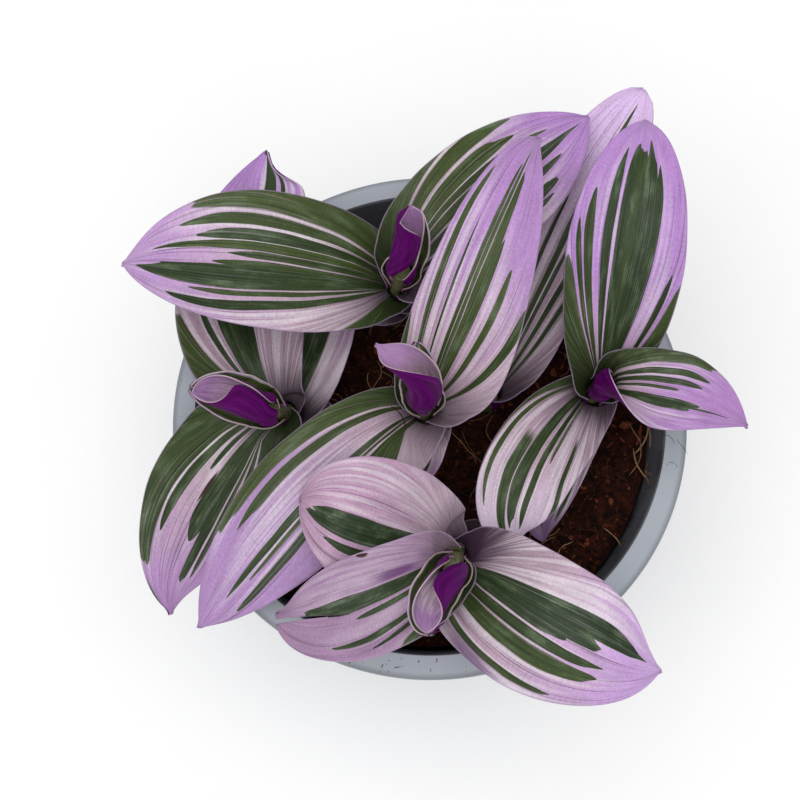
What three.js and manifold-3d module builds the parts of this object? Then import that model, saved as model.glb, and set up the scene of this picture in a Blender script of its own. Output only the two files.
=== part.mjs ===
// Potted tradescantia: a round plastic nursery pot filled with coir soil, with six short leafy shoots.
// Units are millimetres. +Z is up and the origin is on the pot's axis, at the face it stands on.
import * as THREE from 'three';
import { mergeVertices } from 'three/addons/utils/BufferGeometryUtils.js';
import Module from 'manifold-3d';

const wasm = await Module();
wasm.setup();

// Pot
const POT_HEIGHT = 95;
const RIM_RADIUS = 60;
const RIM_BAND = 5.8;
const RIM_DROP = 1.7;
const SKIRT_DEPTH = 7.6;
const BASE_RADIUS = 43;
const WALL = 1.2;
const FOOT_WIDTH = 2.4;
const CHANNEL_RISE = 2.6;
const CENTRE_DISC_RADIUS = 15;
const FLOOR = 1.4;
const POT_SIDES = 60;
const DRAIN_HOLES = 8;
const DRAIN_HOLE_RADIUS = 4;
const DRAIN_CIRCLE_RADIUS = 28;
const DRAIN_HOLE_SIDES = 10;
const EDGE = 0.5;
const SKIRT_WALL = 1.1;
const CHANNEL_SLOPE = 1;

// Soil
const GAP = 0.3;
const SOIL_TOP = 81;
const SOIL_LUMP = 1.2;
const SOIL_RINGS = 8;

// Stems
const STEM_RADIUS = 2.1;
const STEM_ROOT_DEPTH = 20;
const STEM_SIDES = 8;
const STEM_END_SHARE = 0.6;
const STEM_BEND_HEIGHT = 2;

// Leaves
const LEAF_THICKNESS = 0.8;
const SHEATH_HALF_ANGLE = 150;
const TIP_HALF_WIDTH = 0.4;
const BLADE_ROWS = [0, 0.06, 0.15, 0.28, 0.42, 0.56, 0.7, 0.82, 0.92, 1];
const BLADE_COLUMNS = 6;
const MIDRIB_REACH = 0.18;
const SHEATH_OPENING = 0.07;
const RIPPLE_WAVES = 14;
const WRAP_OPENING = 0.4;
const FOLD_REACH = 0.28;

const COLOURS = {
  pot: 0x9a9fa6,
  soil: 0x42302a,
  stem: 0x7c8a4e,
  leaf: 0x8a7a92,
  bud: 0x7a2c86,
};

// Each shoot has its stem's foot at the soil, its stem's top, and its leaves from the lowest up.
// node is the height where a leaf's sheath opens. mid and tip are points of the midrib, in the pot's frame.
// half is the half width left and right of the midrib, looking from the stem to the tip.
// clasp is the same for the part that clasps the stem.
// widest is the share of the blade where each side is widest.
// rise and taper are how bluntly it narrows to the stem and to the tip.
// fold is how many degrees more each side curls over near the stem, where the underside then shows.
// wrap is the radius that a young leaf is rolled to.
// tear is a slit seen from above, with its width at the leaf's edge.
const SHOOTS = [
  {
    name: 'back',
    foot: [-8, 31],
    top: [-6.5, 25.5, 128],
    leaves: [
      { name: 'leaf_back_1', node: 88.5, sheath: 4, mid: [-17, 31, 92], tip: [-26, 32, 90], half: [7, 7] },
      { name: 'leaf_back_2', node: 97, mid: [2, 38, 103], tip: [9, 46, 100], half: [8, 8] },
      { name: 'leaf_back_3', node: 105.5, mid: [-38, 30, 119], tip: [-70.5, 33, 109], half: [16, 16.5],
        widest: [0.5, 0.48], rise: 0.55, taper: [1.2, 1.3] },
      { name: 'leaf_back_4', node: 114.5, mid: [13, 46, 119], tip: [37, 68.5, 110], half: [14.5, 14],
        widest: [0.45, 0.5] },
      { name: 'bud_back_outer', node: 121.5, mid: [-4.5, 31.5, 128], tip: [-3.7, 37, 135], half: [3.8, 5.2] },
      { name: 'bud_back_inner', node: 127.5, mid: [-5, 31, 132], tip: [-4.6, 35.5, 140], half: [11.6, 4.4],
        wrap: 2.7, widest: [0.65, 0.65], taper: [0.35, 0.35] },
    ],
  },
  {
    name: 'left',
    foot: [-31.5, 4],
    top: [-35.8, -4.5, 121],
    leaves: [
      { name: 'leaf_left_1', node: 88.5, sheath: 4, mid: [-25, -3, 96], tip: [-20, -10, 92], half: [6, 6] },
      { name: 'leaf_left_2', node: 95, sheath: 3.5, mid: [-26.5, 20, 97], tip: [-25.5, 38, 96],
        half: [9, 9] },
      { name: 'leaf_left_3', node: 100.4, sheath: 4.6, mid: [-42.5, 33, 102], tip: [-38.5, 63, 102],
        half: [17.5, 14.5], turn: 25, widest: [0.36, 0.7], rise: 0.7, taper: [2.2, 0.6] },
      { name: 'leaf_left_4', node: 107, sheath: 3.5, mid: [-51, -22, 99], tip: [-59, -45, 93],
        half: [11.5, 15.5], widest: [0.38, 0.4], taper: [1, 1.3], cup: 8, lift: 35 },
      { name: 'bud_left_outer', node: 114.5, mid: [-43.6, -1.8, 119], tip: [-52.1, -0.1, 125],
        half: [5.8, 7.2] },
      { name: 'bud_left_inner', node: 121.5, sheath: 2.5, mid: [-43.5, -2.2, 124.5], tip: [-50.6, -2.8, 131],
        half: [12.3, 6.7], wrap: 3.2 },
    ],
  },
  {
    name: 'middle',
    foot: [-1.5, 1.5],
    top: [-1.5, -3, 126.5],
    leaves: [
      { name: 'leaf_middle_1', node: 97, mid: [-4, -9, 98], tip: [-10, -20, 92], half: [7, 7] },
      { name: 'leaf_middle_2', node: 105.5, mid: [-28.5, -23, 110.5], tip: [-52, -49, 99], half: [13.5, 13.5],
        clasp: [8, 7], widest: [0.5, 0.42], rise: 0.5, taper: [0.85, 1.6], cup: 10, roll: -8 },
      { name: 'leaf_middle_3', node: 113.5, mid: [10, 24, 131], tip: [24, 57, 126], half: [10.5, 14.2],
        widest: [0.4, 0.27], taper: [0.65, 1.25] },
      { name: 'bud_middle_outer', node: 119, mid: [-2.5, 3, 125], tip: [-3.4, 8, 132], half: [6, 4.8] },
      { name: 'bud_middle_inner', node: 127, mid: [-4.3, 0.5, 136], tip: [-12.1, 5.3, 141], half: [12.4, 6.5],
        wrap: 3.4, lift: 70, taper: [1.2, 1.2] },
    ],
  },
  {
    name: 'front',
    foot: [6.5, -26],
    top: [4, -40.3, 130],
    leaves: [
      { name: 'leaf_front_1', node: 88.5, sheath: 4, mid: [17, -38, 95], tip: [27, -42, 97], half: [7, 7] },
      { name: 'leaf_front_2', node: 95, sheath: 5, mid: [-9, -36, 102], tip: [-24, -41, 100], half: [8, 8] },
      { name: 'leaf_front_3', node: 102.5, sheath: 4.5, mid: [-11, -27, 117], tip: [-29, -22, 112],
        half: [17.5, 13], taper: [0.8, 0.8], roll: -6, cup: 15 },
      { name: 'leaf_front_4', node: 110, sheath: 5.5, mid: [24, -50.5, 119], tip: [50, -59, 107],
        half: [14.5, 16.3], widest: [0.58, 0.42], taper: [0.95, 1.25] },
      { name: 'leaf_front_5', node: 117.5, sheath: 5.5, mid: [-14, -45, 122], tip: [-34, -46.5, 109],
        half: [12.5, 9.5], widest: [0.52, 0.5],
        tear: { from: [-17.6, -48.4], to: [-36, -48.8], width: 1.3 } },
      { name: 'bud_front_outer', node: 124.5, mid: [0.3, -47, 128.5], tip: [-0.8, -53.6, 133],
        half: [4.6, 7] },
      { name: 'bud_front_inner', node: 130, mid: [-0.2, -46.6, 133.5], tip: [-1.5, -53.7, 138.5],
        half: [10.8, 5.9], wrap: 3 },
    ],
  },
  {
    name: 'right',
    foot: [37.5, 6.5],
    top: [38.6, 4, 112.5],
    leaves: [
      { name: 'leaf_right_1', node: 88.5, sheath: 4, mid: [29.5, -11.5, 93], tip: [26.5, -28, 89],
        half: [6.5, 8] },
      { name: 'leaf_right_2', node: 96, mid: [23, -12.5, 103], tip: [19.6, -31.6, 97], half: [10.4, 10.8],
        widest: [0.55, 0.45], rise: 0.6 },
      { name: 'leaf_right_3', node: 104, mid: [42.5, 31, 123], tip: [49, 64, 119], half: [13, 13.5],
        widest: [0.52, 0.45], rise: 0.75, taper: [1, 0.9] },
      { name: 'leaf_right_4', node: 112, mid: [53, 1, 117], tip: [71, -5, 108], half: [9, 10.5],
        clasp: [8, 12], widest: [0.5, 0.3], taper: [1, 1.1], fold: [0, 190] },
    ],
  },
  {
    name: 'short',
    foot: [14, 6.5],
    top: [14.5, 7.4, 91.5],
    leaves: [
      { name: 'leaf_short_1', node: 90.5, sheath: 5, mid: [27.5, 38, 103], tip: [51, 78, 104],
        half: [11, 12.5], widest: [0.45, 0.6], taper: [0.55, 0.55], mouth: 165 },
    ],
  },
];

const radians = THREE.MathUtils.degToRad;
const point = (xyz) => new THREE.Vector3(...xyz);

// Solids and booleans

function solidFrom(geometry) {
  const bare = geometry.clone();
  bare.deleteAttribute('normal');
  bare.deleteAttribute('uv');
  const merged = mergeVertices(bare, 1e-4);
  return new wasm.Manifold(new wasm.Mesh({
    numProp: 3,
    vertProperties: new Float32Array(merged.attributes.position.array),
    triVerts: new Uint32Array(merged.index.array),
  }));
}

function geometryFrom(solid) {
  const mesh = solid.getMesh();
  return indexedGeometry(Array.from(mesh.vertProperties), Array.from(mesh.triVerts));
}

function indexedGeometry(positions, triangles) {
  const geometry = new THREE.BufferGeometry();
  geometry.setAttribute('position', new THREE.Float32BufferAttribute(positions, 3));
  geometry.setIndex(triangles);
  geometry.computeVertexNormals();
  return geometry;
}

function named(name, geometry, color, roughness) {
  const mesh = new THREE.Mesh(geometry, new THREE.MeshStandardMaterial({ color, roughness, metalness: 0 }));
  mesh.name = name;
  return mesh;
}

function uprightCylinder(radius, low, high, sides, x, y) {
  const cylinder = new THREE.CylinderGeometry(radius, radius, high - low, sides);
  cylinder.rotateX(Math.PI / 2);
  cylinder.translate(x, y, (low + high) / 2);
  return cylinder;
}

// Pot

const potMouthRadius = RIM_RADIUS - RIM_BAND;
const potInnerFoot = BASE_RADIUS - WALL;

function potInnerRadius(z) {
  return THREE.MathUtils.mapLinear(z, FLOOR, POT_HEIGHT, potInnerFoot, potMouthRadius);
}

function turned(profile, sides) {
  const lathe = new THREE.LatheGeometry(profile.map(([r, z]) => new THREE.Vector2(r, z)), sides);
  lathe.rotateX(Math.PI / 2);
  return lathe;
}

function potGeometry() {
  const skirtTop = POT_HEIGHT - RIM_DROP;
  const skirtInner = RIM_RADIUS - SKIRT_WALL - EDGE;
  const wallTop = POT_HEIGHT - 2 * WALL;
  const channelInner = CENTRE_DISC_RADIUS + CHANNEL_SLOPE;
  const channelOuter = BASE_RADIUS - FOOT_WIDTH - CHANNEL_SLOPE;
  const profile = [
    [0, 0],
    [CENTRE_DISC_RADIUS, 0],
    [channelInner, CHANNEL_RISE],
    [channelOuter, CHANNEL_RISE],
    [channelOuter + CHANNEL_SLOPE, 0],
    [BASE_RADIUS - EDGE, 0],
    [BASE_RADIUS, EDGE],
    [potInnerRadius(wallTop) + WALL, wallTop],
    [skirtInner, skirtTop - WALL],
    [skirtInner, skirtTop - SKIRT_DEPTH],
    [RIM_RADIUS - EDGE, skirtTop - SKIRT_DEPTH],
    [RIM_RADIUS, skirtTop - 2 * EDGE],
    [RIM_RADIUS - EDGE / 2, skirtTop - EDGE / 2],
    [RIM_RADIUS - 2 * EDGE, skirtTop],
    [potMouthRadius + EDGE, POT_HEIGHT],
    [potMouthRadius, POT_HEIGHT - EDGE],
    [potInnerFoot, FLOOR],
    [channelOuter, FLOOR],
    [channelOuter - CHANNEL_SLOPE, CHANNEL_RISE + FLOOR],
    [channelInner + CHANNEL_SLOPE, CHANNEL_RISE + FLOOR],
    [channelInner, FLOOR],
    [0, FLOOR],
  ];
  let solid = solidFrom(turned(profile, POT_SIDES));
  for (let i = 0; i < DRAIN_HOLES; i += 1) {
    const angle = ((i + 0.5) / DRAIN_HOLES) * 2 * Math.PI;
    const x = DRAIN_CIRCLE_RADIUS * Math.cos(angle);
    const y = DRAIN_CIRCLE_RADIUS * Math.sin(angle);
    const top = CHANNEL_RISE + 2 * FLOOR;
    const hole = uprightCylinder(DRAIN_HOLE_RADIUS, -FLOOR, top, DRAIN_HOLE_SIDES, x, y);
    solid = solid.subtract(solidFrom(hole));
  }
  return geometryFrom(solid);
}

// Soil

function soilHeight(x, y) {
  const swell = Math.sin(x * 0.11 + 0.6) * Math.cos(y * 0.13 - 0.4);
  const lumps = Math.sin(x * 0.37 + y * 0.21) * Math.sin(y * 0.43 - x * 0.17 + 1.3);
  return SOIL_TOP + SOIL_LUMP * (0.6 * swell + 0.6 * lumps);
}

function soilGeometry() {
  const bottom = CHANNEL_RISE + FLOOR + GAP;
  const positions = [0, 0, soilHeight(0, 0), 0, 0, bottom];
  const triangles = [];
  const edge = potInnerRadius(SOIL_TOP) - 2 * GAP;
  const foot = potInnerRadius(bottom) - 2 * GAP;
  const ringStart = (ring) => 2 + ring * POT_SIDES;
  for (let ring = 0; ring < SOIL_RINGS + 1; ring += 1) {
    const isFoot = ring === SOIL_RINGS;
    const radius = isFoot ? foot : (edge * (ring + 1)) / SOIL_RINGS;
    for (let i = 0; i < POT_SIDES; i += 1) {
      const angle = (i / POT_SIDES) * 2 * Math.PI;
      const x = radius * Math.sin(angle);
      const y = radius * Math.cos(angle);
      positions.push(x, y, isFoot ? bottom : soilHeight(x, y));
    }
  }
  for (let i = 0; i < POT_SIDES; i += 1) {
    const next = (i + 1) % POT_SIDES;
    triangles.push(0, ringStart(0) + next, ringStart(0) + i);
    triangles.push(1, ringStart(SOIL_RINGS) + i, ringStart(SOIL_RINGS) + next);
    for (let ring = 0; ring < SOIL_RINGS; ring += 1) {
      const a = ringStart(ring) + i;
      const b = ringStart(ring) + next;
      const c = ringStart(ring + 1) + next;
      const d = ringStart(ring + 1) + i;
      triangles.push(a, b, c, a, c, d);
    }
  }
  let solid = solidFrom(indexedGeometry(positions, triangles));
  for (const shoot of SHOOTS) {
    const [x, y] = shoot.foot;
    const low = SOIL_TOP - STEM_ROOT_DEPTH - GAP;
    const hole = uprightCylinder(STEM_RADIUS + GAP, low, POT_HEIGHT, STEM_SIDES, x, y);
    solid = solid.subtract(solidFrom(hole));
  }
  return geometryFrom(solid);
}

// Stems

function stemAxis(shoot) {
  const foot = new THREE.Vector3(shoot.foot[0], shoot.foot[1], SOIL_TOP + STEM_BEND_HEIGHT);
  return new THREE.LineCurve3(foot, point(shoot.top));
}

function axisPoint(shoot, z) {
  const axis = stemAxis(shoot);
  return axis.getPoint((z - axis.v1.z) / (axis.v2.z - axis.v1.z));
}

function stemGeometry(shoot, leaves) {
  const axis = stemAxis(shoot);
  const below = axis.v1.clone().setZ(SOIL_TOP - STEM_ROOT_DEPTH);
  const last = leaves.at(-1);
  const end = axisPoint(shoot, last.node - STEM_END_SHARE * last.sheath);
  const centres = [below, axis.v1, axis.getPoint(0.5), end];
  const positions = [...below.toArray(), ...end.toArray()];
  const triangles = [];
  const ringStart = (ring) => 2 + ring * STEM_SIDES;
  for (const centre of centres) {
    for (let i = 0; i < STEM_SIDES; i += 1) {
      const angle = (i / STEM_SIDES) * 2 * Math.PI;
      const x = centre.x + STEM_RADIUS * Math.sin(angle);
      const y = centre.y + STEM_RADIUS * Math.cos(angle);
      positions.push(x, y, centre.z);
    }
  }
  for (let i = 0; i < STEM_SIDES; i += 1) {
    const next = (i + 1) % STEM_SIDES;
    triangles.push(0, ringStart(0) + i, ringStart(0) + next);
    triangles.push(1, ringStart(centres.length - 1) + next, ringStart(centres.length - 1) + i);
    for (let ring = 0; ring < centres.length - 1; ring += 1) {
      const a = ringStart(ring) + i;
      const b = ringStart(ring) + next;
      const c = ringStart(ring + 1) + next;
      const d = ringStart(ring + 1) + i;
      triangles.push(a, c, b, a, d, c);
    }
  }
  return indexedGeometry(positions, triangles);
}

// Leaves

function bladeProfile(v, widest, rise, taper) {
  return v < widest ? (1 - (1 - v / widest) ** 2) ** rise : (1 - ((v - widest) / (1 - widest)) ** 2) ** taper;
}

// The midrib leaves the sheath at the angle lift, and passes through mid and tip.
function midrib(start, bearing, leaf) {
  const mid = point(leaf.mid);
  const tip = point(leaf.tip);
  const lift = radians(leaf.lift);
  const reach = MIDRIB_REACH * start.distanceTo(tip);
  const out = bearing.clone().multiplyScalar(Math.cos(lift) * reach);
  const first = start.clone().add(out).add(new THREE.Vector3(0, 0, Math.sin(lift) * reach));
  const second = mid.clone().multiplyScalar(8).sub(start).sub(tip);
  second.addScaledVector(first, -3).divideScalar(3);
  return new THREE.CubicBezierCurve3(start, first, second, tip);
}

// A row of the leaf is an arc that cups towards normal, with its half lengths and half angles left and right.
function leafRow(place, tangent, heading, roll, halves, angles, ripple) {
  const up = new THREE.Vector3(0, 0, 1);
  const side = up.clone().cross(heading);
  side.addScaledVector(tangent, -side.dot(tangent)).normalize();
  const normal = tangent.clone().cross(side);
  side.applyAxisAngle(tangent, roll);
  normal.applyAxisAngle(tangent, roll);
  const row = [];
  for (let j = 0; j <= BLADE_COLUMNS; j += 1) {
    const u = 1 - (2 * j) / BLADE_COLUMNS;
    const k = u > 0 ? 0 : 1;
    const turn = angles[k] * u;
    const radius = halves[k] / angles[k];
    const inward = normal.clone().multiplyScalar(Math.cos(turn)).addScaledVector(side, -Math.sin(turn));
    const upper = place.clone();
    upper.addScaledVector(side, radius * Math.sin(turn));
    upper.addScaledVector(normal, radius * (1 - Math.cos(turn)));
    upper.addScaledVector(inward, ripple * u * u);
    const lower = upper.clone().addScaledVector(inward, -LEAF_THICKNESS);
    row.push([upper, lower]);
  }
  return row;
}

function leafRows(shoot, leaf) {
  const node = axisPoint(shoot, leaf.node);
  const axisDirection = point(shoot.top).sub(axisPoint(shoot, SOIL_TOP)).normalize();
  const mid = point(leaf.mid);
  const bearing = new THREE.Vector3(mid.x - node.x, mid.y - node.y, 0).normalize();
  bearing.applyAxisAngle(new THREE.Vector3(0, 0, 1), radians(leaf.turn));
  const innerRadius = STEM_RADIUS + 2 * GAP;
  const sheathAngle = radians(SHEATH_HALF_ANGLE);
  const sheathHalf = innerRadius * sheathAngle;
  const start = node.clone().addScaledVector(bearing, innerRadius);
  const curve = midrib(start, bearing, leaf);
  const rows = [];
  for (const below of [leaf.sheath, leaf.sheath / 3]) {
    const place = start.clone().addScaledVector(axisDirection, -below);
    const halves = [sheathHalf, sheathHalf];
    rows.push(leafRow(place, axisDirection, bearing, 0, halves, [sheathAngle, sheathAngle], 0));
  }
  for (const v of BLADE_ROWS) {
    const place = curve.getPoint(v);
    const tangent = curve.getTangent(v);
    if (v === 0) {
      tangent.add(axisDirection).normalize();
    }
    const heading = new THREE.Vector3(tangent.x, tangent.y, 0).normalize();
    const halves = leaf.half.map((half, k) => {
      const blade = half * bladeProfile(v, leaf.widest[k], leaf.rise, leaf.taper[k]);
      return Math.max(Math.hypot(leaf.clasp[k] * (1 - v) ** 3, blade), TIP_HALF_WIDTH);
    });
    const opening = Math.exp(-v / SHEATH_OPENING);
    const cupped = radians(leaf.cup + (leaf.mouth - leaf.cup) * opening);
    const folded = Math.exp(-((v / FOLD_REACH) ** 2));
    const wrapped = THREE.MathUtils.smoothstep(v, 0, WRAP_OPENING);
    const rolled = THREE.MathUtils.lerp(innerRadius, leaf.wrap, wrapped);
    const angles = halves.map((half, k) => {
      return leaf.wrap ? half / rolled : cupped + radians(leaf.fold[k]) * folded;
    });
    const roll = radians(leaf.roll) * THREE.MathUtils.smoothstep(v, 0, 0.5);
    const wave = Math.sin(v * RIPPLE_WAVES + leaf.node) * (1 - v);
    const ripple = leaf.ripple * wave * THREE.MathUtils.smoothstep(v, 0.1, 0.3);
    rows.push(leafRow(place, tangent, heading, roll, halves, angles, ripple));
  }
  return rows;
}

// Upper and lower faces are split along the same diagonal, and the open edges get a wall.
function bladeGeometry(shoot, leaf) {
  const rows = leafRows(shoot, leaf);
  const width = BLADE_COLUMNS + 1;
  const positions = rows.flat(2).flatMap((p) => p.toArray());
  const id = (row, column, face) => 2 * (row * width + column) + face;
  const triangles = [];
  const wall = (rowA, columnA, rowB, columnB) => {
    const a = id(rowA, columnA, 0);
    const b = id(rowB, columnB, 0);
    const c = id(rowB, columnB, 1);
    const d = id(rowA, columnA, 1);
    triangles.push(a, c, b, a, d, c);
  };
  for (let row = 0; row < rows.length - 1; row += 1) {
    for (let column = 0; column < BLADE_COLUMNS; column += 1) {
      const [a, b, c, d] = [[0, 0], [0, 1], [1, 1], [1, 0]].map(([i, j]) => [row + i, column + j]);
      triangles.push(id(...a, 0), id(...b, 0), id(...c, 0), id(...a, 0), id(...c, 0), id(...d, 0));
      triangles.push(id(...a, 1), id(...c, 1), id(...b, 1), id(...a, 1), id(...d, 1), id(...c, 1));
    }
    wall(row + 1, 0, row, 0);
    wall(row, BLADE_COLUMNS, row + 1, BLADE_COLUMNS);
  }
  for (let column = 0; column < BLADE_COLUMNS; column += 1) {
    wall(0, column, 0, column + 1);
    wall(rows.length - 1, column + 1, rows.length - 1, column);
  }
  return indexedGeometry(positions, triangles);
}

function leafGeometry(shoot, leaf) {
  const blade = bladeGeometry(shoot, leaf);
  if (!leaf.tear) {
    return blade;
  }
  const { from, to, width } = leaf.tear;
  const along = new THREE.Vector2(to[0] - from[0], to[1] - from[1]);
  const length = along.length();
  const corners = [[0, 0], [length, -width / 2], [length, width / 2]];
  const wedge = new THREE.Shape(corners.map((xy) => new THREE.Vector2(...xy)));
  const cutter = new THREE.ExtrudeGeometry(wedge, { depth: leaf.node, bevelEnabled: false });
  cutter.rotateZ(along.angle());
  cutter.translate(from[0], from[1], SOIL_TOP);
  return geometryFrom(solidFrom(blade).subtract(solidFrom(cutter)));
}

const LEAF_DEFAULTS = {
  sheath: 6.5, clasp: [8, 8], mouth: 100, lift: 50, turn: 0, wrap: 0, fold: [0, 0],
  widest: [0.45, 0.45], rise: 0.4, taper: [1, 1], cup: 22, roll: 0, ripple: 0.4,
};
const OUTER_BUD = {
  ...LEAF_DEFAULTS, sheath: 4.5, clasp: [6.5, 6.5], lift: 45,
  widest: [0.5, 0.5], taper: [0.55, 0.55], cup: 65, ripple: 0,
};
const INNER_BUD = {
  ...OUTER_BUD, sheath: 3, clasp: [7, 7], lift: 60, widest: [0.45, 0.45], taper: [0.8, 0.8],
};

function completed(leaf) {
  if (leaf.name.endsWith('outer')) {
    return { ...OUTER_BUD, ...leaf };
  }
  return leaf.name.endsWith('inner') ? { ...INNER_BUD, ...leaf } : { ...LEAF_DEFAULTS, ...leaf };
}

const plant = new THREE.Group();
plant.name = 'potted_tradescantia';
plant.add(named('pot', potGeometry(), COLOURS.pot, 0.5));
plant.add(named('soil', soilGeometry(), COLOURS.soil, 0.95));
for (const shoot of SHOOTS) {
  const [x, y] = shoot.foot;
  const group = new THREE.Group();
  group.name = `shoot_${shoot.name}`;
  group.position.set(x, y, SOIL_TOP);
  const leaves = shoot.leaves.map(completed);
  const stem = stemGeometry(shoot, leaves).translate(-x, -y, -SOIL_TOP);
  group.add(named(`stem_${shoot.name}`, stem, COLOURS.stem, 0.6));
  for (const leaf of leaves) {
    const colour = leaf.name.startsWith('bud') ? COLOURS.bud : COLOURS.leaf;
    const blade = leafGeometry(shoot, leaf).translate(-x, -y, -SOIL_TOP);
    group.add(named(leaf.name, blade, colour, 0.5));
  }
  plant.add(group);
}

export default plant;
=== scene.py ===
"""Potted tradescantia: striped leaves, stems, soil and nursery pot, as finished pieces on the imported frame."""
import random
from functools import partial
from math import cos, exp, hypot, pi, radians, sin, sqrt

import bmesh
import bpy
from bpy.props import FloatProperty, FloatVectorProperty, IntProperty, PointerProperty
from mathutils import Matrix, Vector, noise


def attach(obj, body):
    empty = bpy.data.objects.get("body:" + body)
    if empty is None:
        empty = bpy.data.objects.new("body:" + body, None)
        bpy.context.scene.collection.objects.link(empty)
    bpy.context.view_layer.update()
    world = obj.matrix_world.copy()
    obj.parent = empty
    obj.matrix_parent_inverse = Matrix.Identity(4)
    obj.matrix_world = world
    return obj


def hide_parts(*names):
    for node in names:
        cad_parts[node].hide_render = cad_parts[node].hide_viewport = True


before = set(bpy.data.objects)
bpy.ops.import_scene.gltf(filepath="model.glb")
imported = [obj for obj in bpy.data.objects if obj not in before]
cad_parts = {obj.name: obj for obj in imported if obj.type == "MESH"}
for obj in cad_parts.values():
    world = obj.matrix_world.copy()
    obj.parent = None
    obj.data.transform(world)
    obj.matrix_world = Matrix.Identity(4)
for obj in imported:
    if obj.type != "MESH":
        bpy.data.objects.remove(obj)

bl_info = {
    "name": "Potted tradescantia",
    "version": (1, 0, 0),
    "blender": (4, 5, 0),
    "location": "3D View > Sidebar > Tradescantia",
    "description": "Builds a potted tradescantia with striped leaves in a nursery pot",
    "category": "Add Mesh",
}

MM = 0.001
UP = Vector((0, 0, 1))

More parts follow.
